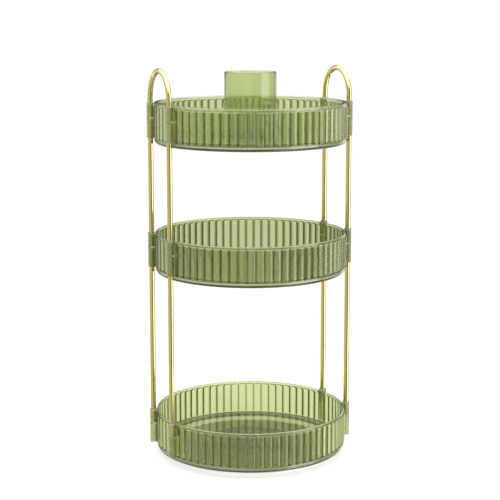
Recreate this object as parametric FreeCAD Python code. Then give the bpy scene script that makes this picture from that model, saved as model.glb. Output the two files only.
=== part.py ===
import FreeCAD, Part

import os
from math import cos, pi, radians, sin, sqrt

# Rotating three-tier tray organizer, in millimetres.
# Origin: middle of the footprint, on the table. +Z is up, -Y is the front with the lipstick slots,
# and the two pairs of legs, with their handles, stand at -X (left) and +X (right).

# ---- driving dimensions ----------------------------------------------------------------------

# Heights of the three tiers.
tray_ground_clearance = 7.0      # table to the lower edge of the bottom tray
lower_tier_pitch = 207.0         # bottom tray to middle tray
upper_tier_pitch = 147.0         # middle tray to top tray

# One tray moulding, used three times. Its own heights count from its lower edge.
tray_radius = 110.0              # over the crests of the flutes
flute_count = 72
flute_height = 1.2               # crest above the smooth band
flute_root_depth = 0.25          # how far the flute roots sink into the band
flute_bottom = 6.2
flute_top = 42.4
tray_height = 45.2               # lower edge to rim
tray_wall = 2.0                  # behind the smooth band
tray_floor = 2.2
tray_foot_recess = 4.5           # hollow under the floor
tray_foot_width = 2.5
tray_edge_round = 4.0            # rounding between wall and lower edge
tray_inner_round = 3.0           # rounding between floor and wall, inside
rim_round = 0.7

# Legs: straight tubes between the trays and a bent tube on top of each pair.
tube_diameter = 6.0
tube_wall = 0.8
leg_clearance = 0.2              # leg tube to the crests of the flutes
leg_half_angle = 16.0            # degrees each side of the X axis
handle_straight = 5.0            # handle leg that shows above its socket

# Leg sockets, moulded on the outside of each tray.
socket_diameter = 8.0
socket_length = 39.7
socket_above_rim = 1.3
socket_stop_drop = 17.3          # socket top to the middle of the stop inside it
socket_stop_thickness = 1.5
socket_web_width = 4.6           # web that joins the socket to the tray wall
tube_fit = 0.02                  # radial clearance of a tube in its socket
tube_end_gap = 0.3               # above a tube, under the stop of the next socket

# Base plate: a shallow dish turned upside down.
base_radius = 94.0
base_thickness = 2.2
base_height = 4.6                # rim height
base_rim_wall = 2.0
base_edge_round = 0.8
hub_height = 3.0                 # hub standing on the base plate
hub_wall = 4.0

# Soft pads under the base plate.
foot_count = 6
foot_diameter = 10.0
foot_inset = 10.0                # edge of the base plate to the middle of a pad
foot_stand_off = 0.6             # pad below the base plate's rim
foot_seat_depth = 0.6            # how deep a pad is let into its boss
foot_fit = 0.1
foot_boss_wall = 1.4
foot_boss_drop = 1.2             # boss below the underside of the base plate

# Ball turntable between the base plate and the bottom tray.
ball_diameter = 4.0
ball_count = 16
ball_circle_radius = 38.0
ball_fit = 0.05
race_width = 16.0
race_fit = 0.1                   # radial clearance of a race in its ring ribs
race_gap = 1.9                   # between the two races
race_rib_width = 1.2
race_rib_height = 1.0
cage_thickness = 1.1
cage_width = 9.0
cage_ball_fit = 0.1

# Pivot in the middle of the turntable.
pivot_diameter = 12.0
pivot_fit = 0.05
pivot_axial_play = 0.15
washer_diameter = 18.0
washer_thickness = 0.9
screw_diameter = 3.0
screw_fit = 0.02
screw_head_diameter = 6.4
screw_head_height = 1.1
screw_depth_in_tray = 9.0        # shank above the washer

# Lift-out insert of the top tray. Its heights also count from the tray's lower edge.
insert_fit = 0.4                 # insert wall to tray wall
insert_seat_gap = 0.1            # flange above the tray's rim
insert_floor_gap = 0.3           # insert floor above the tray's floor
insert_wall = 1.4
insert_floor = 1.4
insert_rim_height = 1.2
insert_rim_inset = 0.2           # flange edge inside the smooth band of the tray
ring_bore_radius = 31.0
ring_wall = 1.5
ring_height = 48.5
divider_count = 3
divider_pitch_angle = 16.5       # degrees
divider_middle_angle = -90.0     # degrees, the front
divider_thickness = 1.6
divider_low_height = 25.5        # top edge near the tray wall
divider_low_radius = 85.0        # inside this radius the top edge sweeps up to the ring

# Loose brush cup in the ring of the insert.
cup_radius = 29.5
cup_wall = 1.6
cup_floor = 2.0
cup_floor_gap = 0.1
cup_top_height = 80.0
cup_edge_round = 0.7

# ---- places that follow from the driving dimensions ------------------------------------------

band_radius = tray_radius - flute_height
cavity_radius = band_radius - tray_wall
floor_top = tray_foot_recess + tray_floor
socket_top = tray_height + socket_above_rim
socket_bottom = socket_top - socket_length
socket_radius = socket_diameter / 2
stop_middle = socket_top - socket_stop_drop
stop_top = stop_middle + socket_stop_thickness / 2
stop_bottom = stop_middle - socket_stop_thickness / 2
tube_radius = tube_diameter / 2
bore_radius = tube_radius + tube_fit
leg_circle_radius = tray_radius + leg_clearance + tube_radius

bottom_tray_z = tray_ground_clearance
middle_tray_z = bottom_tray_z + lower_tier_pitch
top_tray_z = middle_tray_z + upper_tier_pitch

base_bottom = foot_stand_off
base_top = base_bottom + base_height
base_underside = base_top - base_thickness
foot_circle_radius = base_radius - foot_inset
recess_ceiling = bottom_tray_z + tray_foot_recess
race_thickness = (recess_ceiling - base_top - race_gap) / 2
ball_middle = (recess_ceiling + base_top) / 2
race_inner_radius = ball_circle_radius - race_width / 2
race_outer_radius = ball_circle_radius + race_width / 2

AXIS = FreeCAD.Vector(0, 0, 1)
LEG_ANGLES = {
    "left_rear": 180 - leg_half_angle,
    "left_front": 180 + leg_half_angle,
    "right_front": -leg_half_angle,
    "right_rear": leg_half_angle,
}


# ---- shared shapes ---------------------------------------------------------------------------

def polar(radius, angle, z=0.0):
    """Point at a radius and an angle in degrees, at height z."""
    return FreeCAD.Vector(radius * cos(radians(angle)), radius * sin(radians(angle)), z)


def cylinder(radius, bottom, top, centre=None):
    place = FreeCAD.Vector(0, 0, bottom)
    if centre is not None:
        place = FreeCAD.Vector(centre.x, centre.y, bottom)
    return Part.makeCylinder(radius, top - bottom, place)


def ring(inner, outer, bottom, top):
    return cylinder(outer, bottom, top).cut(cylinder(inner, bottom - 1, top + 1))


def rounded_disc(radius, bottom, top, lower_round, upper_round=0.0):
    """Solid disc whose lower and upper outer edges are rounded."""
    disc = cylinder(radius, bottom, top)
    for edge_z, size in ((bottom, lower_round), (top, upper_round)):
        if size > 0:
            edges = [e for e in disc.Edges
                     if len(e.Vertexes) == 1 and abs(e.Vertexes[0].Z - edge_z) < 1e-6]
            disc = disc.makeFillet(size, edges)
    return disc


def fuse_all(shapes):
    return shapes[0].multiFuse(shapes[1:]).removeSplitter() if len(shapes) > 1 else shapes[0]


def save(name, shape):
    """Write one piece, as one solid or as a group of equal solids."""
    shape.exportStep(os.path.join("parts", name + ".step"))


# ---- trays -----------------------------------------------------------------------------------

def flute_prism(bottom, top):
    """Ring of convex flutes: one arc per flute, from root to root over its crest."""
    root_radius = band_radius - flute_root_depth
    step = 360.0 / flute_count
    arcs = []
    for number in range(flute_count):
        start = polar(root_radius, number * step, bottom)
        crest = polar(tray_radius, (number + 0.5) * step, bottom)
        end = polar(root_radius, (number + 1) * step, bottom)
        arcs.append(Part.Arc(start, crest, end).toShape())
    return Part.Face(Part.Wire(arcs)).extrude(AXIS * (top - bottom))


def leg_sockets(angles):
    """Sockets with the webs that join them to the wall, solid, at the tray's own height."""
    shapes = []
    for angle in angles:
        shapes.append(cylinder(socket_radius, socket_bottom, socket_top, polar(leg_circle_radius, angle)))
        web_start = cavity_radius + tray_wall / 2
        web = Part.makeBox(leg_circle_radius - web_start, socket_web_width, tray_height - flute_bottom)
        web.translate(FreeCAD.Vector(web_start, -socket_web_width / 2, flute_bottom))
        web.rotate(FreeCAD.Vector(0, 0, 0), AXIS, angle)
        shapes.append(web)
    return shapes


def socket_bores(angles):
    """Upper and lower bore of each socket, with the stop left between them."""
    shapes = []
    for angle in angles:
        centre = polar(leg_circle_radius, angle)
        shapes.append(cylinder(bore_radius, stop_top, socket_top + 1, centre))
        shapes.append(cylinder(bore_radius, socket_bottom - 1, stop_bottom, centre))
    return shapes


def tray_moulding():
    angles = list(LEG_ANGLES.values())
    body = rounded_disc(band_radius, 0, tray_height, tray_edge_round, rim_round)
    body = body.multiFuse([flute_prism(flute_bottom, flute_top)] + leg_sockets(angles))
    cavity = rounded_disc(cavity_radius, floor_top, tray_height + 1, tray_inner_round)
    recess = cylinder(band_radius - tray_edge_round - tray_foot_width, -1, tray_foot_recess)
    return body.cut([cavity, recess] + socket_bores(angles))


def race_ribs(bottom, top):
    """Two low ring ribs that hold a race between them."""
    inner = race_inner_radius - race_fit
    outer = race_outer_radius + race_fit
    return [
        ring(inner - race_rib_width, inner, bottom, top),
        ring(outer, outer + race_rib_width, bottom, top),
    ]


def bottom_tray_moulding():
    """The common tray with the pivot boss and the race ribs of the turntable under its floor."""
    tray = tray_moulding()
    tray.translate(AXIS * bottom_tray_z)
    boss = cylinder(pivot_diameter / 2, base_underside - pivot_axial_play, recess_ceiling + tray_floor / 2)
    ribs = race_ribs(recess_ceiling - race_rib_height, recess_ceiling + tray_floor / 2)
    pilot = cylinder(screw_diameter / 2 + screw_fit, 0, washer_top + screw_depth_in_tray + 1)
    return tray.multiFuse([boss] + ribs).cut(pilot)


# ---- legs and handles ------------------------------------------------------------------------

def straight_tube(angle, lower_tray_z, upper_tray_z):
    """Leg that stands on the stop of one tray's socket and reaches the stop of the next."""
    centre = polar(leg_circle_radius, angle)
    bottom = lower_tray_z + stop_top
    top = upper_tray_z + stop_bottom - tube_end_gap
    bore = cylinder(tube_radius - tube_wall, bottom - 1, top + 1, centre)
    return cylinder(tube_radius, bottom, top, centre).cut(bore)


def handle(side):
    """Bent tube over one pair of legs: up, round in a half circle, and down."""
    x = side * leg_circle_radius * cos(radians(leg_half_angle))
    half_span = leg_circle_radius * sin(radians(leg_half_angle))
    bottom = top_tray_z + stop_top
    spring = top_tray_z + socket_top + handle_straight
    front_foot = FreeCAD.Vector(x, -half_span, bottom)
    front_spring = FreeCAD.Vector(x, -half_span, spring)
    crown = FreeCAD.Vector(x, 0, spring + half_span)
    rear_spring = FreeCAD.Vector(x, half_span, spring)
    rear_foot = FreeCAD.Vector(x, half_span, bottom)
    path = Part.Wire([
        Part.LineSegment(front_foot, front_spring).toShape(),
        Part.Arc(front_spring, crown, rear_spring).toShape(),
        Part.LineSegment(rear_spring, rear_foot).toShape(),
    ])
    outside = Part.Wire(Part.makeCircle(tube_radius, front_foot, AXIS))
    inside = Part.Wire(Part.makeCircle(tube_radius - tube_wall, front_foot, AXIS))
    return path.makePipeShell([outside], True, False).cut(path.makePipeShell([inside], True, False))


# ---- base and turntable ----------------------------------------------------------------------

washer_top = base_underside - pivot_axial_play


def foot_places():
    return [polar(foot_circle_radius, (number + 0.5) * 360.0 / foot_count) for number in range(foot_count)]


def base_plate():
    plate = rounded_disc(base_radius, base_bottom, base_top, 0, base_edge_round)
    hollow = cylinder(base_radius - base_rim_wall, base_bottom - 1, base_underside)
    hub = cylinder(pivot_diameter / 2 + pivot_fit + hub_wall, base_underside, base_top + hub_height)
    bosses = [cylinder(foot_diameter / 2 + foot_fit + foot_boss_wall,
                       base_underside - foot_boss_drop, base_underside + base_thickness / 2, place)
              for place in foot_places()]
    ribs = race_ribs(base_top - base_thickness / 2, base_top + race_rib_height)
    plate = plate.cut(hollow).multiFuse([hub] + bosses + ribs)
    seat_bottom = base_underside - foot_boss_drop
    seats = [cylinder(foot_diameter / 2 + foot_fit, seat_bottom - 1, seat_bottom + foot_seat_depth, place)
             for place in foot_places()]
    bore = cylinder(pivot_diameter / 2 + pivot_fit, 0, base_top + hub_height + 1)
    return plate.cut(seats + [bore])


def base_feet():
    top = base_underside - foot_boss_drop + foot_seat_depth
    return Part.makeCompound([cylinder(foot_diameter / 2, 0, top, place) for place in foot_places()])


def race(bottom, top):
    """Flat ring with a groove that the balls run in."""
    groove = Part.makeTorus(ball_circle_radius, ball_diameter / 2 + ball_fit,
                            FreeCAD.Vector(0, 0, ball_middle), AXIS)
    return ring(race_inner_radius, race_outer_radius, bottom, top).cut(groove)


def ball_places():
    return [polar(ball_circle_radius, number * 360.0 / ball_count, ball_middle) for number in range(ball_count)]


def ball_cage():
    cage = ring(ball_circle_radius - cage_width / 2, ball_circle_radius + cage_width / 2,
                ball_middle - cage_thickness / 2, ball_middle + cage_thickness / 2)
    pockets = [cylinder(ball_diameter / 2 + cage_ball_fit, 0, recess_ceiling, place) for place in ball_places()]
    return cage.cut(pockets)


def bearing_balls():
    return Part.makeCompound([Part.makeSphere(ball_diameter / 2, place) for place in ball_places()])


def pivot_washer():
    return ring(screw_diameter / 2 + screw_fit, washer_diameter / 2, washer_top - washer_thickness, washer_top)


def pivot_screw():
    head_top = washer_top - washer_thickness
    head = rounded_disc(screw_head_diameter / 2, head_top - screw_head_height, head_top, screw_head_height / 2)
    shank = cylinder(screw_diameter / 2, head_top - screw_head_height / 2, washer_top + screw_depth_in_tray)
    slot = Part.makeBox(screw_head_diameter + 2, screw_diameter / 4, screw_head_height / 2)
    slot.translate(FreeCAD.Vector(-screw_head_diameter / 2 - 1, -screw_diameter / 8, head_top - screw_head_height))
    return head.fuse(shank).cut(slot)


# ---- loose pieces in the top tray ------------------------------------------------------------

insert_radius = cavity_radius - insert_fit
insert_bottom = floor_top + insert_floor_gap
insert_floor_top = insert_bottom + insert_floor
flange_bottom = tray_height + insert_seat_gap
flange_top = flange_bottom + insert_rim_height
flange_radius = band_radius - insert_rim_inset
ring_radius = ring_bore_radius + ring_wall


def divider(angle):
    """Upright wall from the ring to the outer wall, with a top edge that sweeps down outwards."""
    rise = ring_height - divider_low_height
    run = divider_low_radius - ring_radius
    start = FreeCAD.Vector(ring_radius - ring_wall / 2, 0, insert_bottom + insert_floor / 2)
    end_radius = insert_radius - insert_wall / 2
    corner = FreeCAD.Vector(end_radius, 0, start.z)
    low_end = FreeCAD.Vector(end_radius, 0, divider_low_height)
    low_start = FreeCAD.Vector(divider_low_radius, 0, divider_low_height)
    high_end = FreeCAD.Vector(ring_radius, 0, ring_height)
    high_start = FreeCAD.Vector(start.x, 0, ring_height)
    sweep_middle = FreeCAD.Vector(divider_low_radius - run / sqrt(2), 0, ring_height - rise / sqrt(2))
    sweep_centre = FreeCAD.Vector(divider_low_radius, 0, ring_height)
    long_axis = FreeCAD.Vector(sweep_centre.x - run, 0, ring_height)
    short_axis = FreeCAD.Vector(sweep_centre.x, 0, ring_height - rise)
    if run > rise:
        oval = Part.Ellipse(long_axis, short_axis, sweep_centre)
    else:
        oval = Part.Ellipse(short_axis, long_axis, sweep_centre)
    first = oval.parameter(low_start)
    last = oval.parameter(high_end)
    middle = oval.parameter(sweep_middle)
    if not min(first, last) < middle < max(first, last):
        first, last = last, first + 2 * pi
    sweep = Part.Edge(oval, min(first, last), max(first, last))
    outline = Part.Wire(Part.__sortEdges__([
        Part.LineSegment(start, corner).toShape(),
        Part.LineSegment(corner, low_end).toShape(),
        Part.LineSegment(low_end, low_start).toShape(),
        sweep,
        Part.LineSegment(high_end, high_start).toShape(),
        Part.LineSegment(high_start, start).toShape(),
    ]))
    wall = Part.Face(outline).extrude(FreeCAD.Vector(0, divider_thickness, 0))
    wall.translate(FreeCAD.Vector(0, -divider_thickness / 2, 0))
    wall.rotate(FreeCAD.Vector(0, 0, 0), AXIS, angle)
    return wall


def divider_insert():
    body = rounded_disc(insert_radius, insert_bottom, flange_top, tray_inner_round)
    flange = rounded_disc(flange_radius, flange_bottom, flange_top, 0, rim_round)
    cavity = rounded_disc(insert_radius - insert_wall, insert_floor_top, flange_top + 1,
                          tray_inner_round - insert_wall)
    body = body.fuse(flange).cut(cavity)
    walls = [ring(ring_bore_radius, ring_radius, insert_bottom + insert_floor / 2, ring_height)]
    for number in range(divider_count):
        offset = (number - (divider_count - 1) / 2) * divider_pitch_angle
        walls.append(divider(divider_middle_angle + offset))
    shape = body.multiFuse(walls)
    shape.translate(AXIS * top_tray_z)
    return shape


def brush_cup():
    bottom = insert_floor_top + cup_floor_gap
    outside = rounded_disc(cup_radius, bottom, cup_top_height, cup_wall, cup_edge_round)
    inside = rounded_disc(cup_radius - cup_wall, bottom + cup_floor, cup_top_height + 1, cup_wall)
    shape = outside.cut(inside)
    shape.translate(AXIS * top_tray_z)
    return shape


# ---- the whole organizer ---------------------------------------------------------------------

def build():
    os.makedirs("parts", exist_ok=True)
    save("base_plate", base_plate())
    save("base_feet", base_feet())
    save("lower_race", race(base_top, base_top + race_thickness))
    save("ball_cage", ball_cage())
    save("bearing_balls", bearing_balls())
    save("upper_race", race(recess_ceiling - race_thickness, recess_ceiling))
    save("pivot_washer", pivot_washer())
    save("pivot_screw", pivot_screw())
    save("bottom_tray", bottom_tray_moulding())
    for name, height in (("middle_tray", middle_tray_z), ("top_tray", top_tray_z)):
        tray = tray_moulding()
        tray.translate(AXIS * height)
        save(name, tray)
    for place, angle in LEG_ANGLES.items():
        save("lower_tube_" + place, straight_tube(angle, bottom_tray_z, middle_tray_z))
        save("upper_tube_" + place, straight_tube(angle, middle_tray_z, top_tray_z))
    save("left_handle", handle(-1))
    save("right_handle", handle(1))
    save("divider_insert", divider_insert())
    save("brush_cup", brush_cup())


build()
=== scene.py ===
from math import cos, pi, radians, sin, sqrt

import bmesh
import bpy
import numpy as np
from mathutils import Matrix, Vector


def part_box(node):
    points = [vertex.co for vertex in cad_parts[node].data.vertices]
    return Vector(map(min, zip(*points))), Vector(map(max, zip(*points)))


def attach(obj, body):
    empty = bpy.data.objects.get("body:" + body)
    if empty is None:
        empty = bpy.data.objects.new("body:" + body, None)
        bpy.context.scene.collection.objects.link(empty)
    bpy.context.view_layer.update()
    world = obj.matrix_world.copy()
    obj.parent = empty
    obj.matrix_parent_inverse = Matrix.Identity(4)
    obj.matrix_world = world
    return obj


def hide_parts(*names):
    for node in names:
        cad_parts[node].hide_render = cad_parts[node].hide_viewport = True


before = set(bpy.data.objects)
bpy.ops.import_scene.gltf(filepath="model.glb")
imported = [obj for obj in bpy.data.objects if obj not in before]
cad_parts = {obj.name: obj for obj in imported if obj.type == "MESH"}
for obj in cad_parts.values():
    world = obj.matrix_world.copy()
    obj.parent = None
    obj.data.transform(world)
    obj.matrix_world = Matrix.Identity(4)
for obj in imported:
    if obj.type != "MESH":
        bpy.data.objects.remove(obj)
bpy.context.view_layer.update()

# ---- base plate ------------------------------------------------------------------------------
# A shallow clear dish turned upside down, injection moulded in one piece. It carries the hub and
# the ring ribs of the turntable on top and six bosses for the soft pads underneath.


def rounded_outline(corners, steps=6, longest=1.0):
    """Closed outline in a half plane, from corners (radius, height, rounding).

    Each rounded corner is the arc tangent to both of its sides. It starts and ends at
    rounding / tan(half the inside angle) from the corner and turns about a centre on the bisector.
    Straight sides longer than `longest` are divided into equal parts.
    """
    places = np.array([corner[:2] for corner in corners], float)
    befores = np.roll(places, 1, 0)
    afters = np.roll(places, -1, 0)
    outline = []
    for place, before, after, corner in zip(places, befores, afters, corners):
        rounding = corner[2] if len(corner) > 2 else 0.0
        if rounding == 0.0:
            outline.append(place[None])
            continue
        back = (before - place) / np.linalg.norm(before - place)
        ahead = (after - place) / np.linalg.norm(after - place)
        half = np.arccos(np.clip(back @ ahead, -1, 1)) / 2
        centre = place + (back + ahead) / np.linalg.norm(back + ahead) * rounding / np.sin(half)
        start = place + back * rounding / np.tan(half) - centre
        end = place + ahead * rounding / np.tan(half) - centre
        share = np.linspace(0, 1, steps + 1)[:, None]
        turn = pi - 2 * half
        arc = np.sin((1 - share) * turn) * start + np.sin(share * turn) * end
        outline.append(centre + arc / np.sin(turn))
    outline = np.concatenate(outline)
    following = np.roll(outline, -1, 0)
    sides = np.linalg.norm(following - outline, axis=1)
    parts = np.maximum(1, np.ceil(sides / longest)).astype(int)
    share = np.concatenate([np.arange(count) / count for count in parts])[:, None]
    return np.repeat(outline, parts, 0) * (1 - share) + np.repeat(following, parts, 0) * share


def turned(outline, columns=128, middle=(0.0, 0.0)):
    """Outline carried once round an upright axis: (middle + r cos a, middle + r sin a, z)."""
    angle = np.arange(columns) * 2 * pi / columns
    radius = outline[:, :1]
    height = outline[:, 1:]
    return np.stack([middle[0] + radius * np.cos(angle),
                     middle[1] + radius * np.sin(angle),
                     height + 0 * angle], -1)


def moulded(name, grids):
    """Object of closed shells. Each grid closes round both ways, unless its first row is a pole.

    Neighbouring rows and columns are joined by quads. Rows that lie on an axis shrink to a pole, so
    doubles are merged, and then the normals are recalculated to point outwards.
    """
    pole_size = 1e-9
    merge_distance = 1e-7
    points, quads, first = [], [], 0
    for grid in grids:
        rows, columns = grid.shape[:2]
        near = first + np.arange(rows * columns).reshape(rows, columns)
        far = np.roll(near, -1, 0)
        if np.ptp(grid[0], axis=0).max() < pole_size:
            near, far = near[:-1], far[:-1]
        quads.append(np.stack([near, np.roll(near, -1, 1), np.roll(far, -1, 1), far], -1).reshape(-1, 4))
        points.append(grid.reshape(-1, 3))
        first += rows * columns
    mesh = bpy.data.meshes.new(name)
    mesh.from_pydata(np.concatenate(points).tolist(), [], np.concatenate(quads).tolist())
    work = bmesh.new()
    work.from_mesh(mesh)
    bmesh.ops.remove_doubles(work, verts=work.verts, dist=merge_distance)
    bmesh.ops.recalc_face_normals(work, faces=work.faces)
    work.to_mesh(mesh)
    work.free()
    piece = bpy.data.objects.new(name, mesh)
    bpy.context.scene.collection.objects.link(piece)
    return piece


def welded(name, body, additions):
    """One closed solid of a body and the shells moulded onto it, by exact union."""
    for addition in additions:
        union = body.modifiers.new("union", "BOOLEAN")
        union.operation = "UNION"
        union.solver = "EXACT"
        union.object = addition
    view = bpy.context.evaluated_depsgraph_get()
    mesh = bpy.data.meshes.new_from_object(body.evaluated_get(view))
    for scrap in [body, *additions]:
        bpy.data.objects.remove(scrap)
    mesh.name = name
    piece = bpy.data.objects.new(name, mesh)
    bpy.context.scene.collection.objects.link(piece)
    return piece


crease_angle = radians(32)


def finished(piece, material, body, node):
    """Smooth shading that breaks at edges over the crease angle, then the material, the body and the hidden
    CAD part.
    """
    piece.data.materials.clear()
    piece.data.materials.append(material)
    piece.data.shade_smooth()
    piece.data.set_sharp_from_angle(angle=crease_angle)
    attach(piece, body)
    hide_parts(node)


def new_node(tree, kind, settings=None, **inputs):
    """Shader node with its settings, and the values of its inputs by their names (_ for a space)."""
    made = tree.nodes.new("ShaderNode" + kind)
    for name, value in (settings or {}).items():
        setattr(made, name, value)
    for name, value in inputs.items():
        made.inputs[name.replace("_", " ")].default_value = value
    return made


def clouds(tree, scale, detail=2.0, stretch=(1, 1, 1)):
    """Noise on the piece's own coordinates, per metre, and stretched along an axis if asked."""
    place = new_node(tree, "TexCoord")
    mapping = new_node(tree, "Mapping", Scale=stretch)
    noise = new_node(tree, "TexNoise", Scale=scale, Detail=detail)
    tree.links.new(place.outputs["Object"], mapping.inputs["Vector"])
    tree.links.new(mapping.outputs["Vector"], noise.inputs["Vector"])
    return noise.outputs["Fac"]


thin_cloud = 0.3
thick_cloud = 0.7


def between(tree, source, low, high, start=thin_cloud, end=thick_cloud):
    """Value that runs from low to high while the source runs from start to end."""
    remap = new_node(tree, "MapRange", From_Min=start, From_Max=end, To_Min=low, To_Max=high)
    tree.links.new(source, remap.inputs["Value"])
    return remap.outputs["Result"]


def tints(tree, source, first, second):
    """Colour that drifts from the first tint in thin cloud to the second in thick cloud."""
    ramp = new_node(tree, "ValToRGB")
    stops = ramp.color_ramp.elements
    for stop, place, tint in zip(stops, (thin_cloud, thick_cloud), (first, second)):
        stop.position = place
        stop.color = (*tint, 1)
    tree.links.new(source, ramp.inputs["Fac"])
    return ramp.outputs["Color"]


def surface_finish(name, colours, roughness, grain, ripple, **constants):
    """Material with a drifting colour, an uneven roughness and a fine bump.

    colours: two tints; roughness: low and high; grain: scale of the roughness clouds per metre;
    ripple: scale per metre, strength, height in metres and stretch of the bump; constants: sockets
    that are the same all over.
    """
    drift = 22.0
    fine = 3.0
    material = bpy.data.materials.new(name)
    material.use_nodes = True
    tree = material.node_tree
    shader = tree.nodes["Principled BSDF"]
    for key, value in constants.items():
        shader.inputs[key.replace("_", " ")].default_value = value
    tree.links.new(tints(tree, clouds(tree, drift), *colours), shader.inputs["Base Color"])
    tree.links.new(between(tree, clouds(tree, grain, fine), *roughness), shader.inputs["Roughness"])
    scale, strength, height, stretch = ripple
    bump = new_node(tree, "Bump", Strength=strength, Distance=height)
    tree.links.new(clouds(tree, scale, fine, stretch), bump.inputs["Height"])
    tree.links.new(bump.outputs["Normal"], shader.inputs["Normal"])
    return material


def clear_plastic(name, colours, roughness, clarity, tint, depth, bending=1.58):
    """Moulded see-through plastic, a little cloudy, that darkens with its thickness.

    clarity is the share of light that is let through, tint and depth are the colour and the strength
    per metre of the absorption inside, and bending is the index of refraction.
    """
    material = surface_finish(name, colours, roughness, grain=700.0,
                              ripple=(90.0, 0.05, 0.0004, (1, 1, 0.5)),
                              Transmission_Weight=clarity, IOR=bending, Specular_IOR_Level=0.5)
    tree = material.node_tree
    inside = new_node(tree, "VolumeAbsorption", Color=(*tint, 1), Density=depth)
    tree.links.new(inside.outputs["Volume"], tree.nodes["Material Output"].inputs["Volume"])
    return material


base_low, base_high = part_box("base_plate")
base_radius = base_high.x
base_bottom = base_low.z
hub_height = 0.0030
base_top = base_high.z - hub_height
base_thickness = 0.0022
base_rim_wall = 0.0020
base_inside_rounding = 0.0006
base_edge_rounding = 0.0009
hub_bore = 0.00605
hub_radius = 0.01005
hub_foot_rounding = 0.0005
underside = base_top - base_thickness
rib_height = 0.0010
rib_width = 0.0012
rib_rounding = 0.0002
plate_rounding = 0.0003
race_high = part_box("lower_race")[1]
race_fit = 0.0001
race_bore = 0.0300
inner_rib = race_bore - race_fit
outer_rib = race_high.x + race_fit

plate = moulded("plate", [turned(rounded_outline([
    (hub_bore, underside, plate_rounding),
    (base_radius - base_rim_wall, underside, base_inside_rounding),
    (base_radius - base_rim_wall, base_bottom, plate_rounding),
    (base_radius, base_bottom, plate_rounding),
    (base_radius, base_top, base_edge_rounding),
    (outer_rib + rib_width, base_top, rib_rounding),
    (outer_rib + rib_width, base_top + rib_height, rib_rounding),
    (outer_rib, base_top + rib_height, rib_rounding),
    (outer_rib, base_top),
    (inner_rib, base_top),
    (inner_rib, base_top + rib_height, rib_rounding),
    (inner_rib - rib_width, base_top + rib_height, rib_rounding),
    (inner_rib - rib_width, base_top, rib_rounding),
    (hub_radius, base_top, hub_foot_rounding),
    (hub_radius, base_high.z, plate_rounding),
    (hub_bore, base_high.z, plate_rounding),
], steps=4, longest=0.006), columns=256)])

foot_low, foot_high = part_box("base_feet")
foot_radius = 0.0050
foot_circle = foot_high.y - foot_radius
foot_count = 6
foot_fit = 0.0001
boss_wall = 0.0014
boss_depth = 0.0012
boss_bottom = underside - boss_depth
boss_root = underside + base_thickness / 2
foot_angles = (np.arange(foot_count) + 0.5) * 2 * pi / foot_count
foot_places = np.stack([foot_circle * np.cos(foot_angles), foot_circle * np.sin(foot_angles)], -1)
seat_radius = foot_radius + foot_fit
boss_outline = rounded_outline([
    (0.0, foot_high.z),
    (seat_radius, foot_high.z),
    (seat_radius, boss_bottom, rib_rounding),
    (seat_radius + boss_wall, boss_bottom, plate_rounding),
    (seat_radius + boss_wall, boss_root),
    (0.0, boss_root),
], steps=3, longest=0.003)
bosses = moulded("bosses", [turned(boss_outline, columns=48, middle=place) for place in foot_places])

frosted = clear_plastic("clear_frosted_plastic", colours=((0.95, 0.96, 0.91), (0.98, 0.985, 0.95)),
                        roughness=(0.16, 0.26), clarity=0.20, tint=(0.80, 0.88, 0.66), depth=5.0)
finished(welded("base_dish", plate, [bosses]), frosted, "base", "base_plate")

# ---- soft pads -------------------------------------------------------------------------------
# Six round pads of clear silicone, glued into the seats of the bosses. Their lower edges are
# rounded so that they grip a table without a ridge.

pad_rounding = 0.0005
pad_top_rounding = 0.0002
pad_outline = rounded_outline([
    (0.0, foot_high.z),
    (0.0, foot_low.z),
    (foot_radius, foot_low.z, pad_rounding),
    (foot_radius, foot_high.z, pad_top_rounding),
], steps=5, longest=0.0012)
silicone = surface_finish("clear_silicone", colours=((0.78, 0.80, 0.77), (0.88, 0.89, 0.86)),
                          roughness=(0.38, 0.52), grain=900.0, ripple=(1500.0, 0.25, 0.0001, (1, 1, 1)),
                          Transmission_Weight=0.35, IOR=1.42, Subsurface_Weight=0.2, Subsurface_Scale=0.002)
pads = moulded("silicone_pads", [turned(pad_outline, columns=48, middle=place) for place in foot_places])
finished(pads, silicone, "base", "base_feet")

# ---- ball turntable --------------------------------------------------------------------------
# Two flat rings of white acetal with a groove, sixteen steel balls and the nylon cage that keeps
# them apart. The lower ring sits between ribs of the base, the upper one between ribs of the tray.

acetal = surface_finish("white_acetal", colours=((0.80, 0.80, 0.77), (0.87, 0.87, 0.85)),
                        roughness=(0.26, 0.40), grain=500.0, ripple=(1800.0, 0.12, 0.00005, (1, 1, 1)),
                        IOR=1.48, Subsurface_Weight=0.1, Subsurface_Scale=0.001)
nylon = surface_finish("natural_nylon", colours=((0.66, 0.66, 0.60), (0.76, 0.76, 0.70)),
                       roughness=(0.32, 0.48), grain=450.0, ripple=(1400.0, 0.15, 0.00005, (1, 1, 1)),
                       IOR=1.53, Subsurface_Weight=0.15, Subsurface_Scale=0.001)
ball_steel = surface_finish("polished_ball_steel", colours=((0.62, 0.63, 0.65), (0.70, 0.71, 0.72)),
                            roughness=(0.05, 0.10), grain=900.0, ripple=(2500.0, 0.05, 0.00002, (1, 1, 1)),
                            Metallic=1.0)


def dressed(node, material):
    """Gives a piece that keeps its own shape its material."""
    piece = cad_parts[node]
    for holder in piece.material_slots:
        holder.material = material


dressed("lower_race", acetal)
dressed("upper_race", acetal)
dressed("ball_cage", nylon)
dressed("bearing_balls", ball_steel)

# ---- pivot washer and screw ------------------------------------------------------------------
# The washer and a round-head screw, both zinc plated, hold the pivot boss of the bottom tray down
# in the hub of the base.

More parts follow.
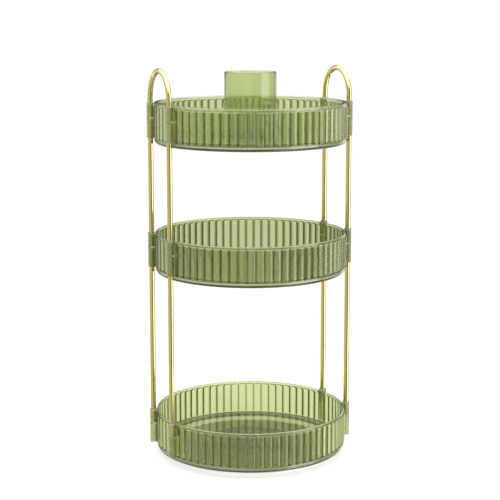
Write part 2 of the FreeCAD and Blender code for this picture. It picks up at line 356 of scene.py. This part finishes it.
zinc = surface_finish("bright_zinc", colours=((0.55, 0.57, 0.60), (0.68, 0.69, 0.68)),
                      roughness=(0.22, 0.38), grain=800.0, ripple=(2200.0, 0.15, 0.00003, (1, 1, 1)),
                      Metallic=1.0)
dressed("pivot_washer", zinc)
dressed("pivot_screw", zinc)

# ---- trays -----------------------------------------------------------------------------------
# Three mouldings of the same see-through sage green plastic: a round tray with 72 upright flutes
# outside, and four leg sockets on webs. The bottom one also has the pivot boss and race ribs.

socket_top = 0.0465
tray_height = 0.0452
band_radius = 0.1088
crest_radius = 0.1100
root_depth = 0.0004
root_radius = band_radius - root_depth
tray_wall = 0.0020
cavity_radius = band_radius - tray_wall
recess = 0.0045
tray_floor = 0.0022
floor_top = recess + tray_floor
edge_round = 0.0040
foot_width = 0.0025
foot_inside = band_radius - edge_round - foot_width
foot_rounding = 0.0008
recess_rounding = 0.0004
rim_outer_rounding = 0.0009
rim_inner_rounding = 0.0007
floor_rounding = 0.0012
flute_count = 72
flute_bottom = 0.0062
flute_top = 0.0424
flute_lower_end = 0.0014
flute_upper_end = 0.0020
flute_arch = 0.0012


def fluted(outline):
    """Outline carried round the axis, with the flutes raised on its outer wall.

    Across a flute u runs from -1 to 1, and its outside is the parabola root + (crest - root)(1 - u*u).
    Near its ends the flute sinks as a quarter circle. Its upper end is an arch, which lies
    arch * (1 - sqrt(1 - u*u)) lower at the roots than at the crest, with the smooth band over it.
    """
    across = np.array([-1.0, -0.93, -0.80, -0.60, -0.35, 0.0, 0.35, 0.60, 0.80, 0.93])
    turn = (np.arange(flute_count)[:, None] + (across + 1) / 2).ravel() * 2 * pi / flute_count
    u = np.tile(across, flute_count)
    radius = outline[:, :1]
    height = outline[:, 1:]
    bulge = (crest_radius - root_radius) * (1 - u * u)
    top = flute_top - flute_arch * (1 - np.sqrt(np.maximum(0, 1 - u * u)))
    above = np.clip((height - top + flute_upper_end) / flute_upper_end, 0, 1)
    below = np.clip((flute_bottom + flute_lower_end - height) / flute_lower_end, 0, 1)
    rise = bulge * np.sqrt(1 - above**2) * np.sqrt(1 - below**2)
    on_wall = np.isclose(radius, band_radius) & (height > flute_bottom) & (height < flute_top)
    radius = np.where(on_wall, root_radius + rise, radius)
    return np.stack([radius * np.cos(turn), radius * np.sin(turn), height + 0 * turn], -1)


quarter = np.linspace(0, pi / 2, 6)
straight_start = flute_bottom + flute_lower_end
straight_end = flute_top - flute_upper_end - flute_arch
wall_heights = np.concatenate([
    flute_bottom + flute_lower_end * (1 - np.cos(quarter)),
    np.linspace(straight_start, straight_end, 5)[1:-1],
    np.linspace(straight_end, flute_top, 14),
])
tray_outline = rounded_outline([
    (0.0, recess),
    (foot_inside, recess, recess_rounding),
    (foot_inside, 0.0, foot_rounding),
    (band_radius, 0.0, edge_round),
    *[(band_radius, height) for height in wall_heights],
    (band_radius, tray_height, rim_outer_rounding),
    (cavity_radius, tray_height, rim_inner_rounding),
    (cavity_radius, floor_top, floor_rounding),
    (0.0, floor_top),
], steps=7, longest=0.011)

leg_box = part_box("lower_tube_left_rear")
leg_radius = (leg_box[1].x - leg_box[0].x) / 2
leg_x = (leg_box[0].x + leg_box[1].x) / 2
leg_y = (leg_box[0].y + leg_box[1].y) / 2
leg_circle = sqrt(leg_x**2 + leg_y**2)
leg_places = {
    "left_rear": (leg_x, leg_y),
    "left_front": (leg_x, -leg_y),
    "right_front": (-leg_x, -leg_y),
    "right_rear": (-leg_x, leg_y),
}
socket_radius = 0.0040
socket_length = 0.0397
socket_bottom = socket_top - socket_length
socket_rounding = 0.0004
bore_fit = 0.00006
bore_radius = leg_radius + bore_fit
bore_rounding = 0.0003
bore_foot_rounding = 0.0002
stop_depth = 0.0173
stop_middle = socket_top - stop_depth
stop_half = 0.00075
socket_outline = rounded_outline([
    (0.0, stop_middle - stop_half),
    (bore_radius, stop_middle - stop_half, bore_rounding),
    (bore_radius, socket_bottom, bore_foot_rounding),
    (socket_radius, socket_bottom, socket_rounding),
    (socket_radius, socket_top, socket_rounding),
    (bore_radius, socket_top, bore_rounding),
    (bore_radius, stop_middle + stop_half, bore_rounding),
    (0.0, stop_middle + stop_half),
], steps=4, longest=0.012)

web_half_width = 0.0023
web_before_leg = 0.0032
web_start = cavity_radius + tray_wall / 2
web_end = leg_circle - web_before_leg
web_low_at_wall = flute_bottom + 0.0006
web_low_at_socket = flute_bottom + 0.0012
web_top_at_wall = tray_height - 0.0003
web_foot_rounding = 0.0004
web_rounding = 0.0003
web_outline = rounded_outline([
    (web_start, web_low_at_wall, web_foot_rounding),
    (web_end, web_low_at_socket, web_rounding),
    (web_end, tray_height, web_rounding),
    (web_start, web_top_at_wall, web_rounding),
], steps=3, longest=0.05)


def web(place):
    """Upright rib between the wall and a socket: its outline seen from the side, given a width.

    The rows are the outline at both side faces, at -half width and +half width from the radius
    through the leg, and before and after them the middle of each face, which closes it.
    """
    along = np.array(place) / leg_circle
    middle = web_outline.mean(0)
    on_outline = np.array([[0], [1], [1], [0]])
    radius = np.where(on_outline, web_outline[:, 0], middle[0])
    height = np.where(on_outline, web_outline[:, 1], middle[1])
    spread = np.array([[-1], [-1], [1], [1]]) * web_half_width
    return np.stack([radius * along[0] - spread * along[1],
                     radius * along[1] + spread * along[0],
                     height], -1)


usual_olive = 0.25


def tone_by(tree, source, tones, olive=usual_olive):
    """Shade through (place, level) pairs of a length in metres; its blue is level^(1 + olive)."""
    low = tones[0][0]
    high = tones[-1][0]
    share = new_node(tree, "MapRange", From_Min=low, From_Max=high)
    ramp = new_node(tree, "ValToRGB")
    stops = ramp.color_ramp.elements
    while len(stops) < len(tones):
        stops.new(1.0)
    for stop, (place, level) in zip(stops, tones):
        stop.position = (place - low) / (high - low)
        stop.color = (level, level, level * level**olive, 1)
    tree.links.new(source, share.inputs["Value"])
    tree.links.new(share.outputs["Result"], ramp.inputs["Fac"])
    return ramp.outputs["Color"]


def multiplied(tree, first, second, share=None):
    """First colour multiplied by the second, everywhere or as far as the share says."""
    blend = new_node(tree, "Mix", {"data_type": "RGBA", "blend_type": "MULTIPLY"}, Factor=1.0)
    if share is not None:
        tree.links.new(share, blend.inputs["Factor"])
    tree.links.new(first, blend.inputs["A"])
    tree.links.new(second, blend.inputs["B"])
    return blend.outputs["Result"]


# Painted shade by distance from the axis: the grooves between the flutes are painted dark where they bend
# light away.
relief = crest_radius - root_radius
groove_painted_shade_tones = (
    (root_radius - 0.0001, 1.0),
    (root_radius, 0.12),
    (root_radius + 0.22 * relief, 0.28),
    (root_radius + 0.50 * relief, 0.74),
    (root_radius + 0.75 * relief, 1.0),
    (crest_radius, 1.0),
    (crest_radius + 0.0001, 1.0),
)
groove_olive = 0.6
# The rest go by height over the tray's lower edge. The grooves' painted shade holds on the fluted band
# only.
groove_shade_band = (
    (flute_bottom + 0.0008, 0.0),
    (flute_bottom + 0.0014, 1.0),
    (flute_top - 0.0018, 1.0),
    (flute_top - 0.0008, 0.0),
)
# Painted shade along the foot: a dark line where its edge bends inwards, under a smooth band painted a
# little darker.
foot_painted_shade_tones = (
    (0.0, 0.80),
    (0.0008, 0.50),
    (0.0013, 0.05),
    (0.0028, 0.05),
    (0.0033, 0.85),
    (0.0056, 0.85),
    (0.0062, 1.0),
)
# Share of light that the thick plastic of the foot, the lower band and the rim scatters.
edge_haze = (
    (0.0, 0.20),
    (0.0008, 0.20),
    (0.0014, 0.85),
    (0.0028, 0.85),
    (0.0032, 0.20),
    (0.0056, 0.20),
    (0.0062, 0.0),
    (tray_height - 0.0012, 0.0),
    (tray_height - 0.0006, 0.25),
)
# Painted shade of the sockets: darker above the stop and, as each tray says, below it. The stop is left
# unshaded, so it shows as a light line.
stop_edge = stop_middle - 0.0010
socket_painted_shade_tones = (
    (stop_middle - 0.0006, 1.0),
    (stop_middle + 0.0006, 1.0),
    (stop_middle + 0.0010, 0.80),
    (socket_top, 0.80),
)
socket_olive = -0.5
socket_clarity = 0.93
sockets_begin = crest_radius + 0.0001
sockets_whole = crest_radius + 0.0003
# Painted shade at a socket's outlines, by how far its surface faces away: a round socket bends light away
# there.
outline_painted_shade_tones = (
    (0.0, 1.0),
    (0.45, 1.0),
    (0.65, 0.40),
    (0.85, 0.15),
    (1.0, 0.10),
)


def painted_relief_shade(material, lower_edge, painted_shade_below_stop):
    """Painted shade and haze of a tray's flutes, foot, rim and leg sockets, over its plain plastic.

    The colour is multiplied by tones of the height over the lower edge and of the distance from
    the axis, sqrt(x*x + y*y). Past the crests only sockets stand, so their tones begin there.
    The clarity there is the sockets' own, and the haze of the foot and rim is taken off it.
    """
    tree = material.node_tree
    shader = tree.nodes["Principled BSDF"]
    spot = new_node(tree, "TexCoord")
    parts = new_node(tree, "SeparateXYZ")
    flat = new_node(tree, "VectorMath", {"operation": "MULTIPLY"})
    flat.inputs[1].default_value = (1, 1, 0)
    length = new_node(tree, "VectorMath", {"operation": "LENGTH"})
    tree.links.new(spot.outputs["Object"], parts.inputs["Vector"])
    tree.links.new(spot.outputs["Object"], flat.inputs[0])
    tree.links.new(flat.outputs["Vector"], length.inputs[0])
    height = parts.outputs["Z"]
    distance = length.outputs["Value"]

    def by_height(tones, olive=usual_olive):
        """Tone by the height over the tray's lower edge."""
        return tone_by(tree, height, [(lower_edge + place, level) for place, level in tones], olive)

    groove_shade_part = by_height(groove_shade_band, 0.0)
    socket_part = between(tree, distance, 0.0, 1.0, sockets_begin, sockets_whole)
    facing = new_node(tree, "LayerWeight", Blend=0.5).outputs["Facing"]
    # The base colour is darkened by painted shade: in the grooves, along the foot, on the sockets and at
    # their outlines.
    colour = shader.inputs["Base Color"].links[0].from_socket
    colour = multiplied(tree, colour, by_height(foot_painted_shade_tones))
    colour = multiplied(tree, colour, tone_by(tree, distance, groove_painted_shade_tones, groove_olive), groove_shade_part)
    colour = multiplied(tree, colour, by_height(((stop_edge, painted_shade_below_stop), *socket_painted_shade_tones), socket_olive),
                        socket_part)
    colour = multiplied(tree, colour, tone_by(tree, facing, outline_painted_shade_tones), socket_part)
    tree.links.new(colour, shader.inputs["Base Color"])

    clarity = shader.inputs["Transmission Weight"].default_value
    hazed = new_node(tree, "Math", {"operation": "SUBTRACT"})
    tree.links.new(between(tree, distance, clarity, socket_clarity, sockets_begin, sockets_whole),
                   hazed.inputs[0])
    tree.links.new(by_height(edge_haze, 0.0), hazed.inputs[1])
    tree.links.new(hazed.outputs[0], shader.inputs["Transmission Weight"])


def raised(grid, height):
    """Grid lifted by a height."""
    return grid + np.array([0.0, 0.0, height])


recess_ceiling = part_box("upper_race")[1].z
boss_top = recess_ceiling + tray_floor / 2
pivot_radius = 0.0060
pivot_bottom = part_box("pivot_washer")[1].z
pivot_rounding = 0.0003
pilot_rounding = 0.0002
pilot_radius = 0.00152
screw_past_bore = 0.0025
pilot_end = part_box("pivot_screw")[1].z - screw_past_bore
pivot_outline = rounded_outline([
    (pilot_radius, pilot_end),
    (pilot_radius, pivot_bottom, pilot_rounding),
    (pivot_radius, pivot_bottom, pivot_rounding),
    (pivot_radius, boss_top),
], steps=3, longest=0.01)


def race_rib(inner):
    """Ring rib under the tray that holds the upper race, from the recess's ceiling down."""
    outer = inner + rib_width
    return turned(rounded_outline([
        (inner, boss_top),
        (inner, recess_ceiling - rib_height, rib_rounding),
        (outer, recess_ceiling - rib_height, rib_rounding),
        (outer, boss_top),
    ], steps=3, longest=0.01), columns=192)


sage_dark = (0.77, 0.84, 0.50)
sage_light = (0.82, 0.88, 0.54)
# For each tray, how bright its tint is, its absorption per metre and its sockets' painted shade below the
# stop. The trays are one plastic; their different brightness and absorption are painted light and shade.
tray_looks = {
    "bottom_tray": (0.97, 100.0, 0.85),
    "middle_tray": (0.85, 75.0, 0.80),
    "top_tray": (0.98, 50.0, 0.82),
}
for name, (tray_painted_level, depth, painted_shade_below_stop) in tray_looks.items():
    lower_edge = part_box(name)[1].z - socket_top
    colours = [tuple(tray_painted_level * part for part in tint) for tint in (sage_dark, sage_light)]
    sage = clear_plastic("sage_green_plastic", colours, roughness=(0.03, 0.07), clarity=0.96,
                         tint=(0.50, 0.58, 0.08), depth=depth)
    painted_relief_shade(sage, lower_edge, painted_shade_below_stop)
    body = moulded("tray", [raised(fluted(tray_outline), lower_edge)])
    webs = moulded("webs", [raised(web(place), lower_edge) for place in leg_places.values()])
    sockets = moulded("sockets", [raised(turned(socket_outline, columns=64, middle=place), lower_edge)
                                  for place in leg_places.values()])
    additions = [webs, sockets]
    if name == "bottom_tray":
        additions.append(moulded("underside", [
            turned(pivot_outline, columns=96),
            race_rib(inner_rib - rib_width),
            race_rib(outer_rib),
        ]))
    finished(welded("fluted_" + name, body, additions), sage, "carousel", name)

# ---- leg tubes -------------------------------------------------------------------------------
# Eight straight thin-walled tubes, drawn, polished and plated in pale gold, with fine lengthwise
# polishing marks. Each stands on the stop of a socket and reaches into the tray above.

tube_wall = 0.0008
tube_end_round = 0.00025
gold = surface_finish("pale_gold_plating", colours=((0.86, 0.71, 0.30), (0.92, 0.77, 0.34)),
                      roughness=(0.07, 0.11), grain=300.0, ripple=(900.0, 0.02, 0.00001, (1, 1, 0.02)),
                      Metallic=1.0)


def tube_outline(length, longest):
    """Section of a tube's wall, as distance from its middle line and distance along it."""
    return rounded_outline([
        (leg_radius - tube_wall, 0.0, tube_end_round),
        (leg_radius, 0.0, tube_end_round),
        (leg_radius, length, tube_end_round),
        (leg_radius - tube_wall, length, tube_end_round),
    ], steps=4, longest=longest)


for tier in ("lower_tube_", "upper_tube_"):
    for leg, place in leg_places.items():
        low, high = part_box(tier + leg)
        outline = tube_outline(high.z - low.z, longest=0.04)
        tube = moulded("gold_" + tier + leg, [raised(turned(outline, columns=64, middle=place), low.z)])
        finished(tube, gold, "carousel", tier + leg)

# ---- handles ---------------------------------------------------------------------------------
# The same tube bent to a half circle over each pair of legs. Its two ends stand in the sockets of
# the top tray, and the bend serves as the carrying handle.


def bent_tube(outline, foot, spring, half_span, columns=48):
    """Tube section carried along a leg, a half circle and the other leg, in the plane x = foot x.

    The point at distance s is C(s) + radius (cos a * N(s) + sin a * X). C is the middle line, N points
    away from the other leg or from the bend's centre, and X is the x axis. On the bend N is
    (y, z) = (-cos t, sin t) with t = (s - straight) / half span, and C is half span * N from its centre.
    """
    x, z_low = foot
    straight = spring - z_low
    bend = pi * half_span
    s = outline[:, 1]
    t = np.clip((s - straight) / half_span, 0, pi)
    beyond = np.clip(s - straight - bend, 0, None)
    short = np.clip(s - straight, None, 0)
    normal = np.stack([0 * s, -np.cos(t), np.sin(t)], -1)
    middle = np.stack([0 * s + x,
                       -half_span * np.cos(t),
                       spring + half_span * np.sin(t) + short - beyond], -1)
    angle = (np.arange(columns) * 2 * pi / columns)[None, :, None]
    ring = np.cos(angle) * normal[:, None] + np.sin(angle) * np.array([1.0, 0, 0])
    return middle[:, None] + outline[:, 0][:, None, None] * ring


for side in ("left", "right"):
    low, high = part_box(side + "_handle")
    half_span = (high.y - low.y) / 2 - leg_radius
    spring = high.z - leg_radius - half_span
    outline = tube_outline(2 * (spring - low.z) + pi * half_span, longest=0.0018)
    foot = ((low.x + high.x) / 2, low.z)
    loop = moulded("gold_" + side + "_loop", [bent_tube(outline, foot, spring, half_span)])
    finished(loop, gold, "carousel", side + "_handle")

# ---- divider insert --------------------------------------------------------------------------
# A thin lift-out liner of the top tray, moulded in the same green plastic, with a flange over the
# tray's rim, a ring for the brush cup and three dividers that form two lipstick slots at the front.

insert_low, insert_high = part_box("divider_insert")
top_tray_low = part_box("top_tray")[1].z - socket_top
insert_radius = 0.1064
insert_wall = 0.0014
insert_inside = insert_radius - insert_wall
insert_floor = 0.0014
insert_bottom = insert_low.z
insert_floor_top = insert_bottom + insert_floor
floor_middle = insert_bottom + insert_floor / 2
insert_foot_rounding = 0.0030
insert_floor_rounding = 0.0016
flange_radius = 0.1086
flange_fit = 0.0001
flange_thickness = 0.0012
flange_bottom = top_tray_low + tray_height + flange_fit
flange_top = flange_bottom + flange_thickness
flange_rounding = 0.0006
flange_lip_rounding = 0.0002
ring_bore = 0.0310
ring_wall = 0.0015
ring_outside = ring_bore + ring_wall
ring_top = insert_high.z
ring_rounding = 0.0006
divider_half = 0.0008
divider_height = 0.0255
divider_low = top_tray_low + divider_height
divider_low_radius = 0.0850
divider_pitch = radians(16.5)
divider_count = 3

liner = moulded("liner", [turned(rounded_outline([
    (0.0, insert_bottom),
    (insert_radius, insert_bottom, insert_foot_rounding),
    (insert_radius, flange_bottom),
    (flange_radius, flange_bottom, flange_lip_rounding),
    (flange_radius, flange_top, flange_rounding),
    (insert_inside, flange_top, flange_rounding),
    (insert_inside, insert_floor_top, insert_floor_rounding),
    (0.0, insert_floor_top),
], steps=6, longest=0.010), columns=288)])
cup_ring = moulded("cup_ring", [turned(rounded_outline([
    (ring_bore, floor_middle),
    (ring_outside, floor_middle),
    (ring_outside, ring_top, ring_rounding),
    (ring_bore, ring_top, ring_rounding),
], steps=5, longest=0.012), columns=160)])


def divider(angle):
    """Upright wall along a radius, with a round top edge.

    Its top runs level at the low height out from the low radius. Inwards it rises along a quarter
    ellipse: height = ring top - rise * sqrt(1 - ((low radius - r) / run)^2). Its section is a line
    up one side, a half circle over the top and a line down the other, and its ends are closed.
    """
    start = ring_bore + ring_wall / 2
    end = insert_radius - insert_wall / 2
    run = divider_low_radius - ring_outside
    rise = ring_top - divider_low
    bend = divider_low_radius - run * np.sin(np.linspace(1, 0, 30) * pi / 2)
    radius = np.concatenate([[start], bend, np.linspace(divider_low_radius, end, 5)[1:]])
    lean = np.clip((divider_low_radius - radius) / run, 0, 1)
    top = ring_top - rise * np.sqrt(1 - lean**2)
    crown = np.linspace(0, pi, 9)
    across = np.concatenate([[0.0, -divider_half], -divider_half * np.cos(crown), [divider_half]])
    lift = np.concatenate([[0, 0], np.sin(crown) * divider_half, [0]])
    is_top = np.concatenate([[0, 0], np.ones(crown.size), [0]])
    height = np.where(is_top > 0, (top - divider_half)[:, None] + lift, floor_middle)
    spread = across + 0 * radius[:, None]
    reach = radius[:, None] + 0 * across
    wall = np.stack([reach * cos(angle) - spread * sin(angle),
                     reach * sin(angle) + spread * cos(angle),
                     height], -1)
    cap_in = wall[:1].mean(1, keepdims=True)
    cap_out = wall[-1:].mean(1, keepdims=True)
    return np.concatenate([cap_in + 0 * wall[:1], wall, cap_out + 0 * wall[-1:]])


offsets = (np.arange(divider_count) - (divider_count - 1) / 2) * divider_pitch
dividers = moulded("dividers", [divider(-pi / 2 + offset) for offset in offsets])
insert_green = clear_plastic("insert_green_plastic", colours=((0.97, 0.99, 0.91), (0.99, 1.0, 0.94)),
                             roughness=(0.02, 0.05), clarity=0.98, tint=(0.50, 0.58, 0.12), depth=10.0,
                             bending=1.40)
insert = welded("lipstick_insert", liner, [cup_ring, dividers])
finished(insert, insert_green, "carousel", "divider_insert")

# ---- brush cup -------------------------------------------------------------------------------
# A loose round cup of the same plastic that stands in the ring of the insert and lifts out. Its
# rim is rounded and its floor is thicker than its wall.

cup_low, cup_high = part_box("brush_cup")
cup_radius = cup_high.x
cup_wall = 0.0016
cup_floor = 0.0020
cup_foot_rounding = 0.0016
cup_rim_rounding = 0.0007
cup = moulded("makeup_brush_cup", [turned(rounded_outline([
    (0.0, cup_low.z),
    (cup_radius, cup_low.z, cup_foot_rounding),
    (cup_radius, cup_high.z, cup_rim_rounding),
    (cup_radius - cup_wall, cup_high.z, cup_rim_rounding),
    (cup_radius - cup_wall, cup_low.z + cup_floor, cup_foot_rounding),
    (0.0, cup_low.z + cup_floor),
], steps=6, longest=0.008), columns=160)])
cup_green = clear_plastic("cup_green_plastic", colours=((0.80, 0.86, 0.60), (0.85, 0.90, 0.64)),
                          roughness=(0.02, 0.05), clarity=0.96, tint=(0.50, 0.58, 0.08), depth=150.0)
finished(cup, cup_green, "loose_cup", "brush_cup")

# ---- studio ----------------------------------------------------------------------------------
# A round of pale paper under the organizer in a white room, with a camera in front and to the
# left, a tall softbox at the right, a low one in front and a soft sun overhead.

floor_radius = 0.42
floor_gap = 0.0001
floor_sides = 96
rim = np.arange(floor_sides) * 2 * pi / floor_sides
floor_points = np.stack([floor_radius * np.cos(rim), floor_radius * np.sin(rim), 0 * rim - floor_gap], -1)
floor_mesh = bpy.data.meshes.new("studio_floor")
floor_mesh.from_pydata(floor_points.tolist(), [], [list(range(floor_sides))])
floor = bpy.data.objects.new("studio_floor", floor_mesh)
bpy.context.scene.collection.objects.link(floor)
paper = surface_finish("pale_studio_paper", colours=((0.50, 0.50, 0.495), (0.52, 0.52, 0.515)),
                       roughness=(0.75, 0.85), grain=40.0, ripple=(600.0, 0.02, 0.0001, (1, 1, 1)),
                       Specular_IOR_Level=0.1, Emission_Color=(1.0, 1.0, 0.99, 1), Emission_Strength=0.62)
floor_mesh.materials.append(paper)
floor.visible_glossy = False

camera_azimuth = radians(-22.98)
camera_distance = 1.5870
camera_height = 0.5204
camera_pitch = radians(9.12)
camera = bpy.data.objects.new("camera", bpy.data.cameras.new("camera"))
camera.data.lens = 101.07
camera.data.shift_x = -0.001
camera.data.shift_y = -0.049
camera.data.sensor_width = 36.0
camera.data.clip_end = 60.0
camera.location = (camera_distance * sin(camera_azimuth),
                   -camera_distance * cos(camera_azimuth),
                   camera_height)
camera.rotation_euler = (pi / 2 - camera_pitch, 0.0, camera_azimuth)
bpy.context.scene.collection.objects.link(camera)
bpy.context.scene.camera = camera

world = bpy.data.worlds.new("studio_surround")
world.use_nodes = True
bpy.context.scene.world = world
tree = world.node_tree
direction = new_node(tree, "TexCoord")
from_viewing_side = new_node(tree, "Mapping", Rotation=(0.0, 0.0, -camera_azimuth))
parts = new_node(tree, "SeparateXYZ")
round_angle = new_node(tree, "Math", {"operation": "ARCTAN2"})
tree.links.new(direction.outputs["Generated"], from_viewing_side.inputs["Vector"])
tree.links.new(from_viewing_side.outputs["Vector"], parts.inputs["Vector"])
tree.links.new(parts.outputs["X"], round_angle.inputs[0])
tree.links.new(parts.outputs["Y"], round_angle.inputs[1])


def surround_light(levels):
    """World light whose level goes through (place, level) pairs right round the organizer.

    The place runs from 0 on the viewing side, over 0.25 at its right and 0.5 behind the organizer,
    to 1. The pairs of both ends come first, because a new ramp has a stop at each end.
    """
    turn = new_node(tree, "MapRange", From_Min=pi, From_Max=-pi, To_Min=0.0, To_Max=1.0)
    shade = new_node(tree, "ValToRGB")
    ramp = shade.color_ramp
    for number, (place, level) in enumerate(levels):
        stop = ramp.elements[number] if number < 2 else ramp.elements.new(place)
        stop.position = place
        stop.color = (level, level, level, 1)
    light = new_node(tree, "Background", Strength=1.0)
    tree.links.new(round_angle.outputs[0], turn.inputs["Value"])
    tree.links.new(turn.outputs["Result"], shade.inputs["Fac"])
    tree.links.new(shade.outputs["Color"], light.inputs["Color"])
    return light.outputs["Background"]


def chosen(switch, otherwise, when):
    """The one light for rays that the switch marks, and the other light for the rest."""
    choice = new_node(tree, "MixShader")
    tree.links.new(switch, choice.inputs[0])
    tree.links.new(otherwise, choice.inputs[1])
    tree.links.new(when, choice.inputs[2])
    return choice.outputs["Shader"]


# Mirrored in gloss and gold: a dark stretch, a bright window at the right, another dark stretch,
# narrow light and dark panels behind, and an even grey at the left. High up it is all bright.
panels = surround_light([
    (0.0, 0.55), (1.0, 0.55),
    (0.008, 0.50),
    (0.018, 0.04), (0.125, 0.04),
    (0.145, 2.6), (0.235, 2.6),
    (0.255, 0.14), (0.38, 0.14),
    (0.40, 1.4), (0.44, 1.4),
    (0.46, 0.10), (0.52, 0.10),
    (0.54, 0.45), (0.58, 0.45),
    (0.60, 0.10),
    (0.62, 1.0), (0.66, 1.0),
    (0.68, 0.55), (0.75, 0.55),
])
overhead = new_node(tree, "Background", Color=(1.0, 1.0, 1.0, 1), Strength=1.9)
overhead_starts = 0.40
overhead_whole = 0.65
up = between(tree, parts.outputs["Z"], 0.0, 1.0, overhead_starts, overhead_whole)
mirrored = chosen(up, panels, overhead.outputs["Background"])
# Seen through the plastic and lighting it: near white, with two grey panels behind.
through = surround_light([
    (0.0, 0.90), (1.0, 0.90),
    (0.25, 0.85), (0.37, 0.85),
    (0.41, 0.45), (0.44, 0.55),
    (0.475, 1.0), (0.525, 1.0),
    (0.56, 0.55), (0.59, 0.45),
    (0.63, 1.0), (0.75, 0.95),
])
# The camera itself sees plain white.
white = new_node(tree, "Background", Color=(1.0, 1.0, 1.0, 1), Strength=1.05)
ray = new_node(tree, "LightPath")
polished = new_node(tree, "Math", {"operation": "MULTIPLY"})
tree.links.new(ray.outputs["Is Glossy Ray"], polished.inputs[0])
tree.links.new(ray.outputs["Is Reflection Ray"], polished.inputs[1])
lit = chosen(polished.outputs[0], through, mirrored)
lit = chosen(ray.outputs["Is Camera Ray"], lit, white.outputs["Background"])
tree.links.new(lit, tree.nodes["World Output"].inputs["Surface"])


def softbox(name, azimuth, distance, height, aim_height, width, tall, power):
    """Area light that faces the organizer's axis, at an azimuth from the camera's and a distance."""
    around = camera_azimuth + radians(azimuth)
    light = bpy.data.objects.new(name, bpy.data.lights.new(name, "AREA"))
    light.data.shape = "RECTANGLE"
    light.data.size = width
    light.data.size_y = tall
    light.data.energy = power
    light.location = (distance * sin(around), -distance * cos(around), height)
    down = np.arctan2(height - aim_height, distance)
    light.rotation_euler = (pi / 2 - down, 0.0, around)
    light.visible_camera = False
    light.visible_glossy = False
    light.visible_transmission = False
    bpy.context.scene.collection.objects.link(light)


softbox("right_softbox", azimuth=75.0, distance=1.6, height=0.4, aim_height=0.3,
        width=0.9, tall=2.2, power=12.0)
softbox("front_fill", azimuth=8.0, distance=1.7, height=0.12, aim_height=0.02,
        width=1.2, tall=0.3, power=12.0)

sky = bpy.data.objects.new("overhead_dome", bpy.data.lights.new("overhead_dome", "SUN"))
sky.data.energy = 0.7
sky.data.angle = radians(60)
sky.rotation_euler = (radians(12), radians(-8), 0.0)
bpy.context.scene.collection.objects.link(sky)

bpy.context.scene.view_settings.view_transform = "Standard"
# Light crosses the many walls of the clear trays, insert and cup before it reaches the eye.
bpy.context.scene.cycles.max_bounces = 32
bpy.context.scene.cycles.transmission_bounces = 32
bpy.context.scene.cycles.glossy_bounces = 12
